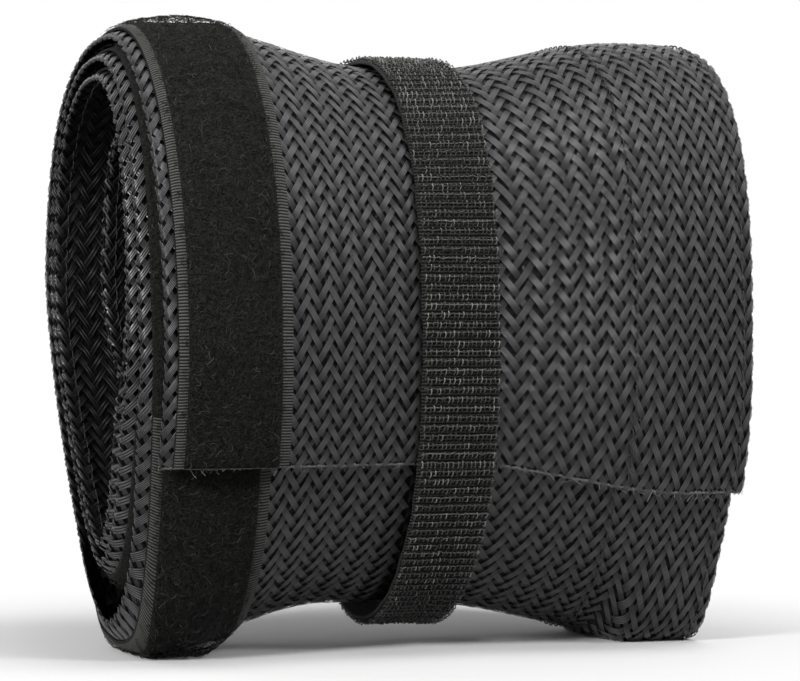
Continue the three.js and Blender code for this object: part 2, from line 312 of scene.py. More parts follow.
    def on_turn(self, x: np.ndarray, turn: np.ndarray, offset: np.ndarray) -> np.ndarray:
        """Points at x and turn, raised by offset outwards from the outer face."""
        x, turn, offset = np.broadcast_arrays(x, turn, offset)
        step = 1e-4
        point = self._rested(x, turn)
        before, after = self._rested(x, turn - step), self._rested(x, turn + step)
        outward = np.stack(
            [
                np.zeros(x.shape),
                before[..., 2] - after[..., 2],
                after[..., 1] - before[..., 1],
            ],
            axis=-1,
        )
        outward /= np.linalg.norm(outward, axis=-1, keepdims=True)
        made = point + outward * offset[..., None]
        made[..., 2] = np.maximum(made[..., 2], self.ground)
        return made

    def lay(self, x: np.ndarray, length: np.ndarray, offset: np.ndarray) -> np.ndarray:
        """Points at x and at a length wound from the free end, which is cut aslant.

        Args:
            x: where across the sleeve's width.
            length: how far along the sleeve.
            offset: how far outwards from the outer face.

        Returns:
            The points, with a last axis of three.
        """
        turn = self.turn_at(length)
        first = self.sizes.first_turn
        share = np.clip(1 - (turn - first) * 12, 0.0, 1.0)
        cut = np.interp(x, self._cut_x, self._cut_turns)
        return self.on_turn(x, turn + share * (cut - first), offset)

    def turn_at(self, length: np.ndarray) -> np.ndarray:
        """The turn that a length along the sleeve reaches."""
        return np.interp(length, self._lengths, self._turns)

    def length_at(self, turn: np.ndarray) -> np.ndarray:
        """The length along the sleeve that a turn takes."""
        return np.interp(turn, self._turns, self._lengths)

    def _measure(self, turns: np.ndarray) -> np.ndarray:
        """Length wound at each turn, as the flared ends measure it."""
        steps = np.zeros(len(turns) - 1)
        for x in (-50.0, 50.0):
            y, z = self.section(np.full(turns.shape, x), turns)
            steps += np.hypot(np.diff(y), np.diff(z)) / 2
        lengths = np.concatenate([[0.0], np.cumsum(steps)])
        return lengths - np.interp(self.sizes.first_turn, turns, lengths)

    def _find_cut(self, x: np.ndarray) -> np.ndarray:
        """The turn at which the free end is cut, at each x."""
        slant = smooth(x, 0.0, self.sizes.width * 0.4)
        height = mix(self.sizes.cut_height.left, self.sizes.cut_height.right, slant)
        low = np.full(x.shape, self.sizes.first_turn - 0.05)
        high = low + 0.1
        for _ in range(12):
            half = (low + high) / 2
            below = self.section(x, half)[1] < height
            low, high = np.where(below, half, low), np.where(below, high, half)
        return low


def quads(index: np.ndarray) -> np.ndarray:
    """Four-sided faces between neighbours along the last two axes of an index."""
    low, high = index[..., :-1, :], index[..., 1:, :]
    return np.stack([low[..., :-1], low[..., 1:], high[..., 1:], high[..., :-1]], axis=-1)


def placed(points: np.ndarray, across: np.ndarray, along: np.ndarray) -> np.ndarray:
    """Two texture numbers for each of an array of points."""
    places = np.empty(points.shape[:-1] + (2,))
    places[..., 0] = across
    places[..., 1] = along
    return places


@dataclass
class Surface:
    """Points and four-sided faces of one piece, with a texture place for each point."""

    points: list[np.ndarray] = field(default_factory=list)
    faces: list[np.ndarray] = field(default_factory=list)
    places: list[np.ndarray] = field(default_factory=list)
    count: int = 0

    def add(self, points: np.ndarray, faces: np.ndarray, places: np.ndarray) -> None:
        """Adds points with the faces that join them."""
        self.points.append(points.reshape(-1, 3))
        self.faces.append(faces.reshape(-1, 4) + self.count)
        self.places.append(places.reshape(-1, 2))
        self.count += len(self.points[-1])

    def grid(self, points: np.ndarray, places: np.ndarray, closed: bool = False) -> None:
        """Adds rows of points as one face; closed joins the last column to the first.

        Args:
            points: an array of rows, columns and three.
            places: the same points' places for the texture.
            closed: whether each row goes round.
        """
        rows, columns = points.shape[:2]
        index = np.arange(rows * columns).reshape(rows, columns)
        if closed:
            index = np.concatenate([index, index[:, :1]], axis=1)
        self.add(points, quads(index), places)

    def strips(self, points: np.ndarray, places: np.ndarray) -> None:
        """Adds many strips of equal size: an array of strips, stations, across and three."""
        many, stations, across = points.shape[:3]
        index = np.arange(many * stations * across).reshape(many, stations, across)
        self.add(points, quads(index), places)

    def tubes(self, paths: np.ndarray, radius: np.ndarray, sides: int, shade: np.ndarray) -> None:
        """Adds thin round threads along paths.

        Args:
            paths: an array of threads, stations and three.
            radius: the radius of each thread at each station.
            sides: how many sides the thread has.
            shade: a number for each thread, for its colour.
        """
        along = np.gradient(paths, axis=1)
        along /= np.linalg.norm(along, axis=-1, keepdims=True) + 1e-9
        across = np.cross(along, np.array([0.31, 0.23, 0.92]))
        across /= np.linalg.norm(across, axis=-1, keepdims=True) + 1e-9
        up = np.cross(along, across)
        angles = TAU * np.arange(sides) / sides
        ring = (
            across[:, :, None] * np.cos(angles)[:, None]
            + up[:, :, None] * np.sin(angles)[:, None]
        )
        points = paths[:, :, None] + ring * radius[:, :, None, None]
        many, stations = paths.shape[:2]
        index = np.arange(many * stations * sides).reshape(many, stations, sides)
        index = np.concatenate([index, index[:, :, :1]], axis=2)
        along_thread = np.linspace(0, 1, stations)[:, None]
        places = placed(points, shade[:, None, None], along_thread)
        self.add(points, quads(index), places)

    def build(self, name: str, material: bpy.types.Material, slot: Slot) -> bpy.types.Object:
        """Makes the mesh object, standing in the frame."""
        points = np.concatenate(self.points)
        faces = np.concatenate(self.faces)
        places = np.concatenate(self.places)
        used, faces = np.unique(faces, return_inverse=True)
        faces = faces.reshape(-1, 4)
        points = (points[used] + np.array(ROLL_CENTRE)) * MILLIMETRE
        mesh = bpy.data.meshes.new(name)
        mesh.vertices.add(len(points))
        mesh.vertices.foreach_set("co", points.astype(np.float32).ravel())
        mesh.loops.add(faces.size)
        mesh.loops.foreach_set("vertex_index", faces.astype(np.int32).ravel())
        mesh.polygons.add(len(faces))
        mesh.polygons.foreach_set("loop_start", np.arange(0, faces.size, 4, dtype=np.int32))
        mesh.polygons.foreach_set("use_smooth", np.ones(len(faces), dtype=bool))
        layer = mesh.uv_layers.new(name="Place")
        layer.data.foreach_set(
            "uv", places[used][faces.ravel()].astype(np.float32).ravel()
        )
        mesh.materials.append(material)
        mesh.update(calc_edges=True)
        mesh.validate()
        made = bpy.data.objects.new(name, mesh)
        bpy.context.scene.collection.objects.link(made)
        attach(made, "root")
        LOG.info("%s: %d triangles", name, 2 * len(faces))
        return made


def hex_colour(code: str) -> tuple[float, float, float, float]:
    """An sRGB colour written as six hex digits, made linear."""
    values = [int(code[i : i + 2], 16) / 255 for i in (0, 2, 4)]
    linear = [v / 12.92 if v <= 0.04045 else ((v + 0.055) / 1.055) ** 2.4 for v in values]
    return (*linear, 1.0)


class Nodes:
    """A node tree, built one node at a time with its settings and links."""

    def __init__(self, tree: bpy.types.NodeTree) -> None:
        self.tree = tree

    def add(self, kind: str, values: dict | None = None, links: dict | None = None, **settings):
        """Adds a node.

        Args:
            kind: the node's type.
            values: values of its inputs.
            links: the outputs that its inputs take.
            settings: its own properties.

        Returns:
            The node.
        """
        node = self.tree.nodes.new(kind)
        for name, value in settings.items():
            setattr(node, name, value)
        for name, value in (values or {}).items():
            node.inputs[name].default_value = value
        for name, output in (links or {}).items():
            self.tree.links.new(output, node.inputs[name])
        return node

    def math(self, operation: str, *given_values):
        """Adds a sum on numbers or outputs and gives its output."""
        node = self.add("ShaderNodeMath", operation=operation)
        for place, given in enumerate(given_values):
            if isinstance(given, (int, float)):
                node.inputs[place].default_value = given
            else:
                self.tree.links.new(given, node.inputs[place])
        return node.outputs[0]

    def backdrop_rays(self):
        """Gives 1 to camera, glossy and transmission rays, which see a white background."""
        path = self.add("ShaderNodeLightPath")
        sharp = self.math(
            "MAXIMUM", path.outputs["Is Glossy Ray"], path.outputs["Is Transmission Ray"]
        )
        return self.math("MAXIMUM", path.outputs["Is Camera Ray"], sharp)


class Shader(Nodes):
    """A material's nodes, round its Principled BSDF."""

    def __init__(self, name: str) -> None:
        self.material = bpy.data.materials.new(name)
        self.material.use_nodes = True
        super().__init__(self.material.node_tree)
        self.surface = self.tree.nodes["Principled BSDF"]

    def place(self) -> tuple:
        """The two numbers of the mesh's own texture places."""
        uv = self.add("ShaderNodeUVMap", uv_map="Place")
        split = self.add("ShaderNodeSeparateXYZ", links={"Vector": uv.outputs["UV"]})
        return split.outputs["X"], split.outputs["Y"]

    def ramp(self, share, stops: list[tuple[float, str]]):
        """Adds a colour ramp along share and gives its colour."""
        node = self.add("ShaderNodeValToRGB", links={"Fac": share})
        elements = node.color_ramp.elements
        while len(elements) < len(stops):
            elements.new(0.5)
        for element, (at, code) in zip(elements, stops):
            element.position = at
            element.color = hex_colour(code)
        return node.outputs["Color"]

    def set(self, colour=None, normal=None, **values) -> bpy.types.Material:
        """Sets the surface's own sockets and gives the finished material."""
        if isinstance(colour, str):
            self.surface.inputs["Base Color"].default_value = hex_colour(colour)
        elif colour is not None:
            self.tree.links.new(colour, self.surface.inputs["Base Color"])
        if normal is not None:
            self.tree.links.new(normal, self.surface.inputs["Normal"])
        for name, value in values.items():
            socket = name.replace("_", " ").title().replace("Ior", "IOR")
            self.surface.inputs[socket].default_value = value
        return self.material


@dataclass(frozen=True)
class PetRibbon:
    """Black PET monofilament, five laid side by side in each ribbon of the braid.

    Its smooth round filaments give long soft glints along the ribbons on near black, partly from the
    sheen and partly as a painted highlight along each filament's middle.
    """

    roughness: float = 0.32

    def material(self) -> bpy.types.Material:
        """Black filaments with round backs, with painted shade where the ribbon dives under another and
        a painted highlight along each filament's middle.
        """
        shader = Shader("PET monofilament ribbon")
        across, raised = shader.place()
        round_top = shader.math("SINE", shader.math("MULTIPLY", across, math.pi))
        bump = shader.add(
            "ShaderNodeBump",
            {"Strength": 0.5, "Distance": 0.00008},
            {"Height": round_top},
        )
        # painted highlight: the colour is lighter along each filament's middle and darker at its edges
        line = shader.math("POWER", round_top, 1.6)
        # painted shade: the colour darkens with the weave share where the ribbon dives under another
        shown = shader.math("MULTIPLY", raised, shader.math("MULTIPLY_ADD", line, 0.85, 0.15))
        # ramp from painted shade (020202) through the ribbon's black to a painted highlight (78787c)
        colour = shader.ramp(shown, [(0.25, "020202"), (0.7, "363638"), (1.0, "78787c")])
        tangent = shader.add("ShaderNodeTangent", direction_type="UV_MAP", uv_map="Place")
        shader.tree.links.new(tangent.outputs[0], shader.surface.inputs["Tangent"])
        return shader.set(
            colour,
            bump.outputs["Normal"],
            roughness=self.roughness,
            anisotropic=0.7,
            specular_ior_level=0.5,
        )


@dataclass(frozen=True)
class BraidLayer:
    """The braid's other layer, seen through the gaps between the ribbons and coloured far darker than
    them as painted shade.

    Its own diagonal ribbons are painted a little lighter on their crests, a painted highlight, so the
    gaps aren't flat black.
    """

    def material(self) -> bpy.types.Material:
        """Dark diagonal ribbons both ways, painted lighter on their crests as a painted highlight."""
        shader = Shader("PET monofilament underlayer")
        round_place, long_place = shader.place()
        heights = []
        for sign in ("ADD", "SUBTRACT"):
            line = shader.math(sign, round_place, long_place)
            wave = shader.math("SINE", shader.math("MULTIPLY", line, TAU))
            heights.append(wave)
        top = shader.math("MAXIMUM", *heights)
        bump = shader.add(
            "ShaderNodeBump", {"Strength": 0.6, "Distance": 0.0004}, {"Height": top}
        )
        # painted highlight on the crests over painted shade, both far darker than the ribbons
        colour = shader.ramp(top, [(0.0, "050505"), (1.0, "0e0e0f")])
        return shader.set(
            colour, bump.outputs["Normal"], roughness=0.6, specular_ior_level=0.1
        )


@dataclass(frozen=True)
class NylonPile:
    """Brushed nylon loop pile: matt black, with fine grey curly fibres on top."""

    def material(self) -> bpy.types.Material:
        """Each fibre has its own grey, at random and lighter for taller fibres, a painted highlight on
        the pile's top.
        """
        shader = Shader("Nylon loop pile")
        grey, _ = shader.place()
        colour = shader.ramp(grey, [(0.0, "0d0d0d"), (0.5, "2a2a28"), (1.0, "525250")])
        return shader.set(colour, roughness=0.85, specular_ior_level=0.15)


@dataclass(frozen=True)
class MattedPile:
    """The lower part of the loop pile: matted fibres that take most of the light.

    Fine light and dark grains, about a third of a millimetre wide, read as soft fluff.
    """

    grain: float = 2.4

    def material(self) -> bpy.types.Material:
        """Grains of grey fibre on near black."""
        shader = Shader("Matted nylon pile")
        uv = shader.add("ShaderNodeUVMap", uv_map="Place")
        noise = shader.add(
            "ShaderNodeTexNoise",
            {"Scale": self.grain, "Detail": 3.0, "Roughness": 0.7, "Distortion": 1.2},
            {"Vector": uv.outputs["UV"]},
        )
        colour = shader.ramp(noise.outputs["Fac"], [(0.38, "040404"), (0.66, "363634")])
        bump = shader.add(
            "ShaderNodeBump",
            {"Strength": 0.8, "Distance": 0.0004},
            {"Height": noise.outputs["Fac"]},
        )
        return shader.set(
            colour, bump.outputs["Normal"], roughness=0.9, specular_ior_level=0.1
        )


@dataclass(frozen=True)
class NylonGround:
    """Woven nylon tape under pile or hooks: matt black with a fine cross rib."""

    rib: float = 0.7
    strength: float = 0.6
    # colour of the rib tops, a painted highlight; the grooves get painted shade
    colour: str = "141414"

    def material(self) -> bpy.types.Material:
        """Ribs across the tape, with a painted highlight on top and painted shade between."""
        shader = Shader("Nylon tape ground")
        across, along = shader.place()
        warp = shader.math(
            "COSINE", shader.math("MULTIPLY_ADD", along, TAU / self.rib, math.pi)
        )
        weft = shader.math("SINE", shader.math("MULTIPLY", across, TAU / self.rib))
        height = shader.math("ADD", warp, shader.math("MULTIPLY", weft, 0.5))
        # painted highlight on the rib tops and painted shade between them, following the ribs' height
        painted_rib_light = shader.math("MULTIPLY_ADD", warp, 0.5, 0.5)
        colour = shader.ramp(painted_rib_light, [(0.1, "0a0a0a"), (0.9, self.colour)])
        bump = shader.add(
            "ShaderNodeBump",
            {"Strength": self.strength, "Distance": 0.0002},
            {"Height": height},
        )
        return shader.set(
            colour, bump.outputs["Normal"], roughness=0.7, specular_ior_level=0.15
        )


@dataclass(frozen=True)
class NylonHook:
    """Stiff nylon hooks: small dark arches with a soft glint on each."""

    def material(self) -> bpy.types.Material:
        """Each hook has its own dark grey."""
        shader = Shader("Nylon hooks")
        grey, _ = shader.place()
        colour = shader.ramp(grey, [(0.0, "303030"), (0.7, "585856"), (1.0, "8a8986")])
        return shader.set(colour, roughness=0.42, specular_ior_level=0.3)


@dataclass(frozen=True)
class SewingThread:
    """Black polyester thread: a dull shine that sets the seams off from the braid."""

    colour: str = "1b1b1c"

    def material(self) -> bpy.types.Material:
        """Plain dark thread."""
        return Shader("Polyester thread").set(self.colour, roughness=0.6)


@dataclass(frozen=True)
class MeltedEdge:
    """Braid cut with a hot knife: the tips along the cut are coloured a dull light grey."""

    def material(self) -> bpy.types.Material:
        """Grey tips, from dark to light by strand."""
        shader = Shader("Melted PET tips")
        grey, _ = shader.place()
        colour = shader.ramp(grey, [(0.0, "2a2a2a"), (0.5, "6c6b68"), (1.0, "a8a6a0")])
        return shader.set(colour, roughness=0.6)


@dataclass(frozen=True)
class BraidSizes:
    """The braid's pattern round the flattened tube, in millimetres.

    The slope is how far round a ribbon goes for each millimetre along the sleeve, and the
    gain is how far along the sleeve it gets for each millimetre of its own length.
    """

    depth: float = 0.18
    under_depth: float = 0.22
    fold_puff: float = 0.35
    fold_arc: float = 1.95
    columns: int = 49
    slope: float = 0.611
    ribbon_width: float = 1.36
    filament_gap: float = 0.07
    weave: float = 0.22
    sharpness: float = 2.6
    crown: float = 0.03
    overhang: float = 1.4
    gain: float = 0.853
    fray: tuple[float, float] = (-1.3, 0.2)
    drift: tuple[tuple[float, float], ...] = ((0.14, 19.0), (0.09, 7.3))
    step: float = 1.15
    edge_step: float = 1.7
    inside_step: float = 3.0


@dataclass(frozen=True)
class CutSizes:
    """The cut end, in millimetres: its fused line and the filament tips along it."""

    stations: int = 420
    uneven: float = 0.12
    radius: float = 0.2
    swell: float = 0.1
    tips: int = 700
    tip_radius: float = 0.06
    tip_reach: float = 0.3


class BraidedSleeve:
    """The flattened braided tube: a dark underlayer and the ribbons woven over it."""

    # Where the braid is stretched or bunched: how far each place across it is shifted
    SPREAD_X = (-67.5, -40.0, -9.0, 9.0, 20.0, 32.0, 45.0, 67.5)
    SPREAD = (0.0, 1.2, 0.0, 3.0, 4.2, 3.8, 2.8, 0.0)

    def __init__(self, coil: Coil, sizes: BraidSizes, seed: int = 3) -> None:
        self.coil = coil
        self.sizes = sizes
        self.random = np.random.default_rng(seed)
        self.core = coil.sizes.thickness / 2 - sizes.depth
        self.flat_edge = coil.edge - self.core - sizes.fold_puff
        self.flat = 2 * self.flat_edge
        self.round = 2 * (self.flat + sizes.fold_arc)
        self.spacing = self.round / sizes.columns / 2

    def tube(self, around: np.ndarray, height: np.ndarray) -> tuple[np.ndarray, np.ndarray]:
        """Where a place around the flattened tube lies.

        Args:
            around: distance round the tube from the left fold, over the outer face first.
            height: how far out of the tube's middle surface.

        Returns:
            x across the sleeve and the offset from its outer face.
        """
        s = self.sizes
        at = np.mod(around, self.round)
        half = self.flat + s.fold_arc
        second = at >= half
        at = np.where(second, at - half, at)
        bend = np.clip((at - self.flat) / s.fold_arc, 0.0, 1.0) * math.pi
        straight = -self.flat_edge + np.minimum(at, self.flat)
        straight = straight + np.interp(
            np.where(second, -straight, straight), self.SPREAD_X, self.SPREAD
        ) * np.where(second, -1.0, 1.0)
        radius = self.core + s.fold_puff * np.sin(bend) + height
        sign = np.where(second, -1.0, 1.0)
        x = sign * (straight + radius * np.sin(bend))
        offset = -self.coil.sizes.thickness / 2 + sign * radius * np.cos(bend)
        return x, offset

    def underlayer(self) -> bpy.types.Object:
        """The tube's closed dark body, a little inside the ribbons."""
        surface = Surface()
        turns = self.coil.sizes
        stations = self.coil.length_at(
            np.arange(turns.first_turn, turns.last_turn, 1 / 72)
        )
        stations = np.append(stations, self.coil.length)
        fold = self.flat + np.array([0.25, 0.5, 0.75]) * self.sizes.fold_arc
        half = np.concatenate([np.linspace(0, self.flat, 30), fold])
        around = np.concatenate([half, half + self.flat + self.sizes.fold_arc])
        x, offset = self.tube(around, np.full(around.shape, -self.sizes.under_depth))
        points = self.coil.lay(x[None], stations[:, None], offset[None])
        along = (stations * self.sizes.slope / self.spacing)[:, None]
        surface.grid(points, placed(points, around / self.spacing, along), closed=True)
        ring = len(around)
        for row in (0, len(stations) - 1):
            index = row * ring + np.arange(ring)
            count = ring // 2
            low, high = index[:count], index[count:][::-1]
            cap = np.stack([low[:-1], high[:-1], high[1:], low[1:]], axis=-1)
            cap = cap if row else cap[:, ::-1]
            surface.faces.append(cap)
        return surface.build("braid_underlayer", BraidLayer().material(), Slot.BRAID)

    @staticmethod
    def ribbon_faces(kept: np.ndarray, across: int) -> np.ndarray:
        """Faces that join the neighbouring kept stations of each ribbon.

        Args:
            kept: which stations of each ribbon are made.
            across: how many points a station has, two for each filament.

        Returns:
            The faces, filament by filament.
        """
        index = np.cumsum(kept).reshape(kept.shape) - 1
        joined = kept[:, :-1] & kept[:, 1:]
        first = index[:, :-1][joined] * across
        second = index[:, 1:][joined] * across
        spans = np.arange(0, across, 2)
        corners = ((first, 0), (first, 1), (second, 1), (second, 0))
        return np.stack([start[:, None] + spans + edge for start, edge in corners], axis=-1)

    def ribbons(
        self, name: str, family: int, zone: "Zone", material: bpy.types.Material
    ) -> bpy.types.Object:
        """One family of parallel ribbons in one zone of the roll.

        Args:
            name: the piece's name.
            family: 1 for ribbons that lean right along the sleeve and -1 for left.
            zone: which part of the sleeve they cover.
            material: their finish.

        Returns:
            The object.
        """
        s = self.sizes
        count = 2 * s.columns
        angle = math.atan(s.slope)
        first, last = self.coil.length_at(zone.first), self.coil.length_at(zone.last)
        length = np.arange(first - s.overhang, last, zone.step * s.gain)
        strand = np.arange(count)[:, None]
        wander = self.random.uniform(0, TAU, (count, 3))
        fray = self.random.uniform(*s.fray, (count, 1))
        drift = sum(
            size * np.sin(length / period + wander[:, k : k + 1])
            for k, (size, period) in enumerate(s.drift)
        )
        around = strand * self.spacing + family * s.slope * length + drift
        x, offset = self.tube(around, np.zeros(around.shape))
        turn = np.broadcast_to(self.coil.turn_at(length), around.shape)
        kept = zone.shows(x, offset > -self.coil.sizes.thickness / 2, turn)
        kept &= (length > fray) & (length < self.coil.length - 0.3 + fray)
        over = family * np.cos(math.pi * (around - self.spacing / 4) / self.spacing)
        weave = np.tanh(s.sharpness * over)
        height = s.weave * weave + 0.04 * np.sin(length / 11 + wander[:, 2:])
        rows, at = np.nonzero(kept)
        pitch = (s.ribbon_width + s.filament_gap) / zone.filaments
        middle = (np.arange(zone.filaments) - (zone.filaments - 1) / 2) * pitch
        half = (pitch - s.filament_gap) / 2
        side = np.stack([middle - half, middle + half], axis=1).ravel()
        across = side / side[-1]
        ribbon_around = around[rows, at][:, None] + side * math.cos(angle)
        ribbon_length = length[at][:, None] - family * side * math.sin(angle)
        raised = height[rows, at][:, None] + s.crown * (1 - across**2)
        x, offset = self.tube(ribbon_around, raised)
        points = self.coil.lay(x, ribbon_length, offset)
        # the second place is the over or under share, which the ribbon material turns into painted
        # shade where the ribbon dives
        places = placed(points, np.arange(len(side)) % 2, (1 + over[rows, at][:, None]) / 2)
        surface = Surface()
        surface.add(points, self.ribbon_faces(kept, len(side)), places)
        return surface.build(name, material, Slot.BRAID)

    def cut_end(self) -> bpy.types.Object:
        """The free end's grey line along the cut, with the tips of filaments standing off it."""
        s = CutSizes()
        surface = Surface()
        x = np.linspace(-self.coil.edge + 0.4, self.coil.edge - 0.4, s.stations)
        wave = self.random.normal(0, s.uneven, x.size)
        path = self.coil.lay(x, -0.25 + wave, np.full(x.size, -0.45) + wave)
        radius = s.radius + s.swell * self.random.random(x.size)
        surface.tubes(path[None], radius[None], 6, np.array([0.45]))
        many = s.tips
        root = self.random.uniform(-self.coil.edge, self.coil.edge, many)
        u = np.linspace(0, 1, 5)
        reach = self.random.gamma(2.0, s.tip_reach, (many, 1))
        lean = self.random.normal(0, 0.9, (many, 1))
        curl = self.random.normal(0, 0.5, (many, 1))
        xs = root[:, None] + (lean * u + curl * np.sin(3 * u)) * reach
        lengths = 0.3 - reach * u * 1.1
        rise = -0.5 + 0.7 * u * reach * self.random.uniform(-0.4, 1.4, (many, 1))
        xs = np.clip(xs, -self.coil.edge, self.coil.edge)
        paths = self.coil.lay(xs, lengths, rise)
        radius = np.full(paths.shape[:2], s.tip_radius)
        surface.tubes(paths, radius, 3, self.random.uniform(0, 0.9, many))
        return surface.build("cut_end", MeltedEdge().material(), Slot.BRAID)


@dataclass(frozen=True)
class Zone:
    """A part of the wound sleeve whose ribbons are made."""

    first: float
    last: float
    step: float
    filaments: int
    cover: Cover
    loop_tape: tuple[float, float] = (-63.8, -41.2)
    hook_tape: tuple[float, float] = (41.0, 64.0)
    strap: tuple[float, float] = (-8.0, 7.2)
    fold: float = 61.0
    inner_wall: float = HOLLOW_START
    heart: float = 2.8

    def shows(self, x: np.ndarray, outer: np.ndarray, turn: np.ndarray) -> np.ndarray:
        """Which places of the sleeve this zone covers; tapes and strap hide the rest."""
        taped, hooked, strapped = (
            (x > low) & (x < high) for low, high in (self.loop_tape, self.hook_tape, self.strap)
        )
        bare = ~(taped & outer) & ~(hooked & ~outer)
        near_fold = np.abs(x) > self.fold
        if self.cover is Cover.OUTSIDE:
            return bare & np.where(outer, ~strapped, near_fold)
        if self.cover is Cover.EDGES:
            return bare & near_fold
        inner_wall = ~outer & (turn > self.inner_wall)
        return bare & (inner_wall | (turn > self.heart))


@dataclass(frozen=True)
class PileSizes:
    """The loop pile's fibres, in millimetres."""

    fibres: int = 16400
    edge_fibres: int = 2000
    stations: int = 5
    half_width: float = 0.07
    base: float = 1.27
    tallest: tuple[float, float] = (0.15, 0.62)
    span: tuple[float, float] = (0.9, 2.6)
    band: tuple[float, float] = (1.7, 22.9)
    edge_band: tuple[float, float] = (0.6, 2.6)


class LoopTape:
    """Loop tape sewn to the sleeve's outer face along its left edge."""

    def __init__(self, coil: Coil, seed: int = 11) -> None:
        self.coil = coil
        self.start = -coil.edge + coil.sizes.tape_inset
        self.width = coil.sizes.tape_width
        self.random = np.random.default_rng(seed)

    def backing(self) -> bpy.types.Object:
        """The woven tape, with its bare ribbed selvedges."""
        surface = Surface()
        profile = [
            (0.0, 0.3),
            (0.15, 0.85),
            (2.0, 0.9),
            (2.8, 1.3),
            (21.8, 1.3),
            (22.6, 0.9),
            (24.85, 0.85),
            (25.0, 0.3),
        ]
        closed_strip(self.coil, surface, self.start, profile, 0.3, 144)
        return surface.build("loop_tape_backing", MattedPile().material(), Slot.PILE)

    def ribs(self) -> bpy.types.Object:
        """The raised ribs of both selvedges on the outer turn."""
        pitch, tall = 0.7, 0.24
        surface = Surface()
        for low, high in ((0.1, 2.1), (22.3, 24.9)):
            x = self.start + np.linspace(low, high, 5)
            length = np.arange(0.1, self.coil.length_at(0.95), pitch / 4)
            rib = tall * np.abs(np.sin(math.pi * length / pitch))
            arch = np.array([0.0, 0.8, 1.0, 0.9, 0.2])
            height = 0.86 + arch * 0.1 + arch * rib[:, None]
            points = self.coil.lay(x[None], length[:, None], height)
            surface.grid(points, placed(points, x, length[:, None]))
        # the selvedge rib tops get a light grey painted highlight
        selvedge = NylonGround(rib=pitch, strength=0.2, colour="5e5e5c")
        return surface.build("loop_tape_selvedges", selvedge.material(), Slot.PILE)

    def pile(self) -> bpy.types.Object:
        """Curly loops all over the outer turn's tape, and at the edges of the inner turns."""
        s = PileSizes()
        many = s.fibres + s.edge_fibres
        inner = np.arange(many) >= s.fibres
        low, high = (np.where(inner, a, b) for a, b in zip(s.edge_band, s.band))
        x = self.start + self.random.uniform(low, high)
        length = self.random.uniform(0.5, self.coil.length_at(OUTER_END), many)
        length[inner] = self.random.uniform(
            self.coil.length_at(0.95), self.coil.length_at(3.2), s.edge_fibres
        )
        u = np.linspace(0, 1, s.stations)
        heading = self.random.uniform(0, TAU, (many, 1))
        span = self.random.uniform(*s.span, (many, 1)) / (s.stations - 1)
        turn = heading + self.random.normal(0, 2.6, (many, 1)) * (u - 0.5)
        step_x, step_l = np.cos(turn) * span, np.sin(turn) * span
        xs = x[:, None] + np.cumsum(step_x, axis=1)
        ls = length[:, None] + np.cumsum(step_l, axis=1)
        xs = np.clip(xs, self.start + 0.3, self.start + self.width - 1.9)
        ls = np.maximum(ls, 0.1)
        top = self.random.uniform(*s.tallest, (many, 1))
        rise = s.base + top * np.sin(math.pi * (0.1 + 0.8 * u)) ** 0.6
        rise += self.random.normal(0, 0.05, rise.shape)
        roll = self.random.normal(0, 0.7, (many, 1, 1)) + (u - 0.5)[:, None]
        sides = np.array([-s.half_width, s.half_width])
        xs = xs[:, :, None] - np.sin(turn)[:, :, None] * sides * np.cos(roll)
        ls = ls[:, :, None] + np.cos(turn)[:, :, None] * sides * np.cos(roll)
        rise = rise[:, :, None] + sides * np.sin(roll)
        points = self.coil.lay(xs, ls, rise)
        # grey varies at random, and taller fibres are painted lighter: a painted highlight on the
        # pile's top
        grey = self.random.beta(1.6, 2.6, many) * (0.6 + 0.6 * top[:, 0])
        surface = Surface()
        surface.strips(points, placed(points, grey[:, None, None], u[:, None]))
        return surface.build("loop_pile_fibres", NylonPile().material(), Slot.PILE)


def closed_strip(
    coil: Coil,
    surface: Surface,
    start: float,
    profile: list[tuple[float, float]],
    under: float,
    per_turn: int,
) -> None:
    """Adds a tape wound with the sleeve: a closed ring of points at each station.

    Args:
        coil: what it is laid on.
        surface: what it is added to.
        start: x of its left edge.
        profile: distance from that edge and offset of its outward face.
        under: offset of its other face.
        per_turn: how many stations a turn has.
    """
    sizes = coil.sizes
    turns = np.append(np.arange(sizes.first_turn, sizes.last_turn, 1 / per_turn), sizes.last_turn)
    stations = coil.length_at(turns) + np.where(turns <= sizes.first_turn, 0.3, 0.0)
    across = np.array([x for x, _ in profile])
    top = np.array([h for _, h in profile])
    back = across[1:-1][::-1]
    ring_x = start + np.concatenate([across, back])
    ring_h = np.concatenate([top, np.full(len(back), under)])
    points = coil.lay(ring_x[None], stations[:, None], ring_h[None])
    surface.grid(points, placed(points, ring_x, stations[:, None]), closed=True)
    ring = len(ring_x)
    for row in (0, len(stations) - 1):
        index = row * ring + np.arange(ring)
        low = index[1 : len(across) - 1]
        high = index[len(across) :][::-1]
        cap = np.stack([low[:-1], low[1:], high[1:], high[:-1]], axis=-1)
        surface.faces.append(cap if row else cap[:, ::-1])


def hook_paths(
    x: np.ndarray, length: np.ndarray, bend: np.ndarray, tall: float, reach: float
) -> tuple[np.ndarray, np.ndarray, np.ndarray]:
    """Paths of hooks that rise from the ground and bend over along the tape.

    Args:
        x: where each hook stands across the tape.
        length: where it stands along the tape.
        bend: 1 or -1, which way it bends.
        tall: how high it rises.
        reach: how far it bends over.

    Returns:
        x, length and height of each station of each hook.
    """
    rise = np.array([0.0, 0.55, 0.95, 1.0, 0.72])
    over = np.array([0.0, 0.03, 0.35, 0.8, 1.0])
    xs = np.broadcast_to(x[:, None], (len(x), 5))
    ls = length[:, None] + bend[:, None] * reach * over
    return xs, ls, np.broadcast_to(rise * tall, xs.shape)


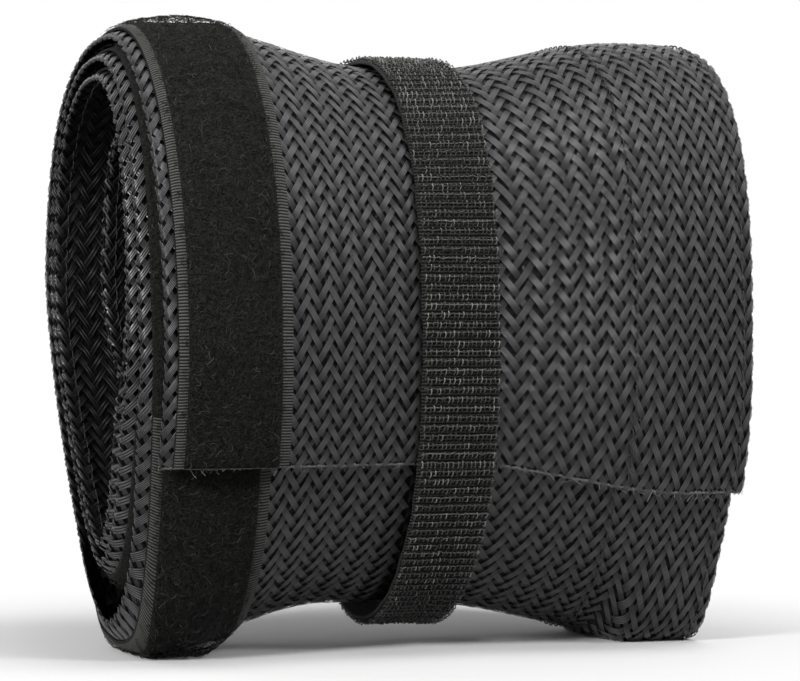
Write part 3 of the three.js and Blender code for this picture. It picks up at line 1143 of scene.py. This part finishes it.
class HookTape:
    """Hook tape sewn to the sleeve's inner face along its right edge."""

    def __init__(self, coil: Coil, seed: int = 23) -> None:
        self.coil = coil
        self.end = coil.edge - coil.sizes.tape_inset
        self.start = self.end - coil.sizes.tape_width
        self.face = -coil.sizes.thickness - coil.sizes.tape_gap
        self.random = np.random.default_rng(seed)

    def backing(self) -> bpy.types.Object:
        """The woven tape under the hooks."""
        surface = Surface()
        profile = [(0.0, self.face - 0.25)]
        profile += [(across, self.face) for across in (0.15, 12.5, 24.85)]
        profile.append((25.0, self.face - 0.25))
        closed_strip(self.coil, surface, self.start, profile, self.face - 0.75, 144)
        return surface.build("hook_tape_backing", NylonGround().material(), Slot.HOOKS)

    def hooks(self) -> bpy.types.Object:
        """Hooks where the coil's hollow shows them, and along the tape's right edge."""
        first, last = self.coil.length_at(1.95), self.coil.length
        lengths = np.arange(first, last, 2.2)
        columns = np.arange(self.start + 1.6, self.end - 1.2, 2.0)
        x, length = (a.ravel() for a in np.meshgrid(columns, lengths))
        edge_length = np.arange(self.coil.length_at(0.9), first, 1.5)
        edge = np.meshgrid([self.end - 1.5, self.end - 2.9], edge_length)
        x = np.concatenate([x, edge[0].ravel()])
        length = np.concatenate([length, edge[1].ravel()])
        x = x + self.random.normal(0, 0.12, x.size)
        bend = np.where(self.random.random(x.size) < 0.5, 1.0, -1.0)
        xs, ls, hs = hook_paths(x, length, bend, 0.85, 0.8)
        paths = self.coil.lay(xs, np.minimum(ls, self.coil.length), self.face - 0.65 - hs)
        surface = Surface()
        radius = np.full(paths.shape[:2], 0.1)
        surface.tubes(paths, radius, 3, self.random.random(x.size) * 0.7)
        return surface.build("hook_tape_hooks", NylonHook().material(), Slot.HOOKS)


@dataclass(frozen=True)
class StrapSizes:
    """The tie strap, in millimetres and turns."""

    width: float = 18.0
    ground: float = 0.75
    hook_height: float = 1.25
    centre: float = -0.4
    start: float = 0.4
    end: float = 1.6
    sag: float = 2.6
    clearance: float = 0.3
    lap_lift: float = 2.4
    row_pitch: float = 2.0
    hook_pitch: float = 1.06
    hook_setback: float = 0.25
    hook_reach: float = 1.35
    hook_radius: float = 0.15
    weft_radius: float = 0.2
    weft_rise: float = 0.5


class TieStrap:
    """The hook strap that pinches the waist, with its tail lapped over its start."""

    def __init__(self, coil: Coil, sizes: StrapSizes, seed: int = 31) -> None:
        self.coil = coil
        self.sizes = sizes
        self.random = np.random.default_rng(seed)
        turns = np.linspace(sizes.start, sizes.end, 1201)
        line = self.lay(np.zeros(turns.size), turns, np.zeros(turns.size))
        steps = np.linalg.norm(np.diff(line, axis=0), axis=1)
        self._turns = turns
        self._lengths = np.concatenate([[0.0], np.cumsum(steps)])
        self.length = float(self._lengths[-1])

    def lay(self, x: np.ndarray, turn: np.ndarray, offset: np.ndarray) -> np.ndarray:
        """Points on the strap at x, turn and offset from its underside."""
        s, c = self.sizes, self.coil.sizes
        x, turn, offset = np.broadcast_arrays(x, turn, offset)
        local = np.mod(turn - c.first_turn, 1.0) + c.first_turn

        def at(t: np.ndarray) -> tuple[np.ndarray, np.ndarray]:
            y, z = self.coil.section(x, t)
            sag = s.sag * smooth(-np.sin(TAU * t), 0.2, 0.9)
            return y, z - np.where(t > 0.5, sag, 0.0)

        lapping = smooth(turn, s.start + 0.9, s.start + 0.97)
        past_end = smooth(local, 1 + c.first_turn - 0.12, 1 + c.first_turn)
        lift = (
            s.clearance
            + c.relief
            + self.coil.inward(x, local) * past_end
            + lapping * s.lap_lift
        )
        (y, z), (y_a, z_a), (y_b, z_b) = at(local), at(local - 1e-4), at(local + 1e-4)
        out_y, out_z = z_a - z_b, y_b - y_a
        size = np.hypot(out_y, out_z)
        raised = lift + offset
        return np.stack([x, y + out_y / size * raised, z + out_z / size * raised], axis=-1)

    def turn_at(self, length: np.ndarray) -> np.ndarray:
        """The turn that a length along the strap reaches."""
        return np.interp(length, self._lengths, self._turns)

    def ground(self) -> bpy.types.Object:
        """The strap's woven ground, with slightly uneven edges."""
        s = self.sizes
        surface = Surface()
        half = s.width / 2
        profile = [
            (-half, 0.25),
            (-half + 0.15, s.ground),
            (-half + 1.2, s.ground),
            (0.0, s.ground),
            (half - 1.2, s.ground),
            (half - 0.15, s.ground),
            (half, 0.25),
            (half - 0.15, 0.0),
            (0.0, 0.0),
            (-half + 0.15, 0.0),
        ]
        across = np.array([p[0] for p in profile])
        heights = np.array([p[1] for p in profile])
        length = np.append(np.arange(0, self.length, 0.8), self.length)
        uneven = 0.12 * np.sin(length / 3.1) + 0.08 * np.sin(length / 1.3)
        xs = s.centre + across[None] + np.where(np.abs(across) > half - 0.3, 1.0, 0.0) * uneven[:, None]
        points = self.lay(xs, self.turn_at(length)[:, None], heights[None])
        surface.grid(points, placed(points, across, length[:, None]), closed=True)
        ring = len(profile)
        for row in (0, len(length) - 1):
            cap = row * ring + np.array([[0, 1, 8, 9]])
            surface.faces.append(cap if row else cap[:, ::-1])
        # the strap's rib tops get a grey painted highlight
        return surface.build(
            "tie_strap_ground",
            NylonGround(rib=0.75, strength=0.8, colour="3c3c3a").material(),
            Slot.STRAP,
        )

    def hooks(self) -> bpy.types.Object:
        """Rows of small hooks all over the strap's outward face."""
        s = self.sizes
        rows = np.arange(0.8, self.length - 0.6, s.row_pitch)
        half = s.width / 2 - 0.7
        columns = np.linspace(-half, half, round(2 * half / s.hook_pitch) + 1)
        x, length = (a.ravel() for a in np.meshgrid(columns, rows))
        x = x + s.centre + self.random.normal(0, 0.1, x.size)
        length = length + self.random.normal(0, 0.12, x.size)
        tall = s.hook_height * self.random.uniform(0.8, 1.06, (x.size, 1))
        xs, ls, hs = hook_paths(x, length + s.hook_setback, np.ones(x.size), 1.0, s.hook_reach)
        xs = xs + self.random.normal(0, 0.12, (x.size, 1)) * np.linspace(0, 1, 5)
        turn = self.turn_at(np.clip(ls, 0, self.length))
        paths = self.lay(xs, turn, s.ground - 0.1 + hs * tall)
        surface = Surface()
        radius = np.full(paths.shape[:2], s.hook_radius)
        surface.tubes(paths, radius, 3, self.random.random(x.size))
        return surface.build("tie_strap_hooks", NylonHook().material(), Slot.STRAP)

    def cross_ribs(self) -> bpy.types.Object:
        """The thick weft rows between the rows of hooks."""
        s = self.sizes
        lengths = np.arange(0.05, self.length - 0.3, s.row_pitch)
        stations = 40
        x = s.centre + np.linspace(-s.width / 2 + 0.15, s.width / 2 - 0.15, stations)
        rough = self.random.normal(0, 0.09, (len(lengths), stations, 2))
        turn = self.turn_at(np.maximum(lengths[:, None] + rough[..., 0], 0.0))
        height = s.ground + s.weft_rise + 0.12 * np.cos(np.arange(stations) * math.pi) + rough[..., 1]
        paths = self.lay(np.broadcast_to(x, turn.shape), turn, height)
        surface = Surface()
        radius = np.full(paths.shape[:2], s.weft_radius)
        surface.tubes(paths, radius, 3, self.random.uniform(0.5, 0.9, len(lengths)))
        return surface.build("tie_strap_weft", NylonHook().material(), Slot.STRAP)


class Stitching:
    """The seams that hold both tapes, as separate stitches of thread."""

    HOOK_TAPE_SEAMS = (39.1, 64.6)
    LOOP_TAPE_SEAMS = (-64.2, -40.8)
    STITCH_RADIUS = 0.17
    TAIL_RADIUS = 0.14

    def __init__(self, coil: Coil, seed: int = 47) -> None:
        self.coil = coil
        self.random = np.random.default_rng(seed)
        self.surface = Surface()

    def seam(self, x: float, face: Face, first: float, last: float) -> None:
        """Adds a line of stitches at x over some turns, on one face of the sleeve."""
        pitch, stitch, stations = 2.9, 2.3, 6
        starts = np.arange(self.coil.length_at(first) + 1.0, self.coil.length_at(last), pitch)
        u = np.linspace(0, 1, stations)
        length = starts[:, None] + u * stitch
        height = 0.12 + 0.22 * np.sin(math.pi * u) ** 0.5 - 0.3 * (np.abs(u - 0.5) > 0.45)
        if face is Face.INNER:
            height = -self.coil.sizes.thickness - height
        wander = self.random.normal(0, 0.14, (len(starts), 1))
        wander = wander + 0.25 * np.sin(starts / 17)[:, None]
        xs = x + wander + np.zeros(length.shape)
        paths = self.coil.lay(xs, length, np.broadcast_to(height, length.shape))
        radius = np.full(paths.shape[:2], self.STITCH_RADIUS)
        self.surface.tubes(paths, radius, 4, np.full(len(starts), 0.5))

    def tail(self, x: float, turn: float) -> None:
        """Adds the loose end of a seam's thread, curled on the braid."""
        length = float(self.coil.length_at(turn))
        u = np.linspace(0, 1, 44)
        xs = x + 1.6 * np.sin(9 * u) * u + 1.2 * np.sin(23 * u)
        lengths = length - 9 * u + 1.3 * np.cos(17 * u)
        heights = 0.45 + 0.25 * np.abs(np.sin(13 * u))
        path = self.coil.lay(xs, lengths, heights)
        radius = np.full((1, len(u)), self.TAIL_RADIUS)
        self.surface.tubes(path[None], radius, 5, np.array([0.5]))

    def build(self) -> bpy.types.Object:
        """All stitches as one piece."""
        return self.surface.build("seam_stitches", SewingThread().material(), Slot.BRAID)


@dataclass(frozen=True)
class Lamp:
    """A square area lamp, in metres and watts."""

    name: str
    place: tuple[float, float, float]
    size: float
    power: float


@dataclass(frozen=True)
class StudioSizes:
    """The camera, from a fit to the photograph's outline, and the light and floor."""

    azimuth: float = -20.0
    distance: float = 0.695
    lens: float = 135.5
    shift_x: float = 0.01875
    shift_y: float = -0.00375
    world_light: float = 0.22
    floor_size: float = 24.0
    fade_start: float = 0.065
    fade_end: float = 0.17
    lamps: tuple[Lamp, ...] = (
        Lamp("left", (-1.1, -0.75, 0.65), 0.3, 14.0),
        Lamp("right", (0.7, -0.95, 0.75), 0.3, 6.0),
        Lamp("top", (0.25, -0.35, 1.2), 0.6, 6.0),
        Lamp("back", (-0.6, 0.9, 0.7), 0.6, 2.0),
    )


class Studio:
    """A pale floor and backdrop, soft light from above and the photograph's camera."""

    def __init__(self, sizes: StudioSizes) -> None:
        self.sizes = sizes
        self.centre = np.array(ROLL_CENTRE) * MILLIMETRE

    def camera(self) -> None:
        """Stands the camera level with the roll, to the left of its front."""
        turn = math.radians(self.sizes.azimuth)
        data = bpy.data.cameras.new("camera")
        data.lens = self.sizes.lens
        data.sensor_width = 36.0
        data.shift_x = self.sizes.shift_x
        data.shift_y = self.sizes.shift_y
        data.clip_end = 100.0
        made = bpy.data.objects.new("camera", data)
        made.location = self.centre + self.sizes.distance * np.array(
            [math.sin(turn), -math.cos(turn), 0.0]
        )
        made.rotation_euler = (math.pi / 2, 0.0, turn)
        bpy.context.scene.collection.objects.link(made)
        bpy.context.scene.camera = made

    def lamp(self, lamp: Lamp) -> None:
        """Adds a soft square lamp aimed at the roll."""
        data = bpy.data.lights.new(lamp.name, "AREA")
        data.size = lamp.size
        data.energy = lamp.power
        made = bpy.data.objects.new(lamp.name, data)
        made.location = lamp.place
        aim = np.array(lamp.place) - self.centre
        flat = math.hypot(aim[0], aim[1])
        made.rotation_euler = (
            math.atan2(flat, aim[2]),
            0.0,
            math.atan2(aim[1], aim[0]) + math.pi / 2,
        )
        bpy.context.scene.collection.objects.link(made)

    def light(self) -> None:
        """Lamps from the left, the right, above and behind, and a soft world."""
        for lamp in self.sizes.lamps:
            self.lamp(lamp)
        world = bpy.data.worlds.new("studio")
        world.use_nodes = True
        bpy.context.scene.world = world
        nodes = Nodes(world.node_tree)
        soft = nodes.tree.nodes["Background"]
        soft.inputs["Color"].default_value = WHITE
        soft.inputs["Strength"].default_value = self.sizes.world_light
        white = nodes.add("ShaderNodeBackground", {"Color": WHITE, "Strength": 1.0})
        blend = nodes.add(
            "ShaderNodeMixShader",
            links={0: nodes.backdrop_rays(), 1: soft.outputs[0], 2: white.outputs[0]},
        )
        output = nodes.tree.nodes["World Output"]
        nodes.tree.links.new(blend.outputs[0], output.inputs["Surface"])

    def floor(self) -> None:
        """A pale floor that turns white away from the roll."""
        mesh = bpy.data.meshes.new("floor")
        half = self.sizes.floor_size / 2
        mesh.from_pydata(
            [(-half, -half, 0), (half, -half, 0), (half, half, 0), (-half, half, 0)],
            [],
            [(0, 1, 2, 3)],
        )
        shader = Shader("Pale studio floor")
        seen = shader.backdrop_rays()
        pale = shader.add("ShaderNodeMix", links={"Factor": seen}, data_type="RGBA")
        pale.inputs[6].default_value = hex_colour("5c5c5b")
        pale.inputs[7].default_value = hex_colour("fafafa")
        shader.set(pale.outputs[2], roughness=0.8)
        white = shader.add("ShaderNodeEmission", {"Strength": 1.0})
        where = shader.add("ShaderNodeNewGeometry")
        far = shader.add(
            "ShaderNodeVectorMath",
            links={0: where.outputs["Position"]},
            operation="LENGTH",
        )
        fade = shader.add(
            "ShaderNodeMapRange",
            {"From Min": self.sizes.fade_start, "From Max": self.sizes.fade_end},
            {"Value": far.outputs["Value"]},
            interpolation_type="SMOOTHSTEP",
        )
        share = shader.math("MULTIPLY", fade.outputs["Result"], seen)
        blend = shader.add(
            "ShaderNodeMixShader",
            links={
                0: share,
                1: shader.surface.outputs["BSDF"],
                2: white.outputs["Emission"],
            },
        )
        output = shader.tree.nodes["Material Output"]
        shader.tree.links.new(blend.outputs["Shader"], output.inputs["Surface"])
        mesh.materials.append(shader.material)
        made = bpy.data.objects.new("floor", mesh)
        bpy.context.scene.collection.objects.link(made)
        made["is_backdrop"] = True


def dress_sleeve(coil: Coil) -> None:
    sleeve = BraidedSleeve(coil, BraidSizes())
    under = sleeve.underlayer()
    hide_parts("braided_sleeve")
    ribbon = PetRibbon().material()
    zones = (
        Zone(coil.sizes.first_turn, OUTER_END, sleeve.sizes.step, 5, Cover.OUTSIDE),
        Zone(0.94, 2.85, sleeve.sizes.edge_step, 3, Cover.EDGES),
        Zone(1.9, coil.sizes.last_turn, sleeve.sizes.inside_step, 2, Cover.INSIDE),
    )
    others = [
        sleeve.ribbons(f"braid_{zone.cover.value}_{lean}", family, zone, ribbon)
        for zone in zones
        for lean, family in (("right", 1), ("left", -1))
    ]
    others.append(sleeve.cut_end())
    seams = Stitching(coil)
    for x in Stitching.HOOK_TAPE_SEAMS:
        seams.seam(x, Face.OUTER, coil.sizes.first_turn, OUTER_END)
    for x in Stitching.LOOP_TAPE_SEAMS:
        seams.seam(x, Face.INNER, HOLLOW_START, coil.sizes.last_turn)
    seams.tail(39.4, -0.045)
    others.append(seams.build())


def dress_loop_tape(coil: Coil) -> None:
    tape = LoopTape(coil)
    backing = tape.backing()
    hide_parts("loop_tape")
    others = [tape.ribs(), tape.pile()]


def dress_hook_tape(coil: Coil) -> None:
    tape = HookTape(coil)
    backing = tape.backing()
    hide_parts("hook_tape")
    tape.hooks()


def dress_strap(coil: Coil) -> None:
    strap = TieStrap(coil, StrapSizes())
    ground = strap.ground()
    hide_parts("tie_strap")
    strap.hooks()
    strap.cross_ribs()


def corners(box) -> list[list[float]]:
    """A box as plain lists."""
    return [[float(value) for value in corner] for corner in box]


def main() -> None:
    """Builds each sub-assembly in order and logs it."""
    logging.basicConfig(level=logging.INFO, format="%(message)s")
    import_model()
    before = corners(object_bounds())
    bpy.context.scene.view_settings.view_transform = "Standard"
    coil = Coil(CoilSizes())
    LOG.info("sleeve length %.1f mm", coil.length)
    dress_sleeve(coil)
    dress_loop_tape(coil)
    dress_hook_tape(coil)
    dress_strap(coil)
    studio = Studio(StudioSizes())
    studio.floor()
    studio.light()
    studio.camera()
    {"before": before, "after": corners(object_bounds())}


if __name__ == "__main__":
    main()
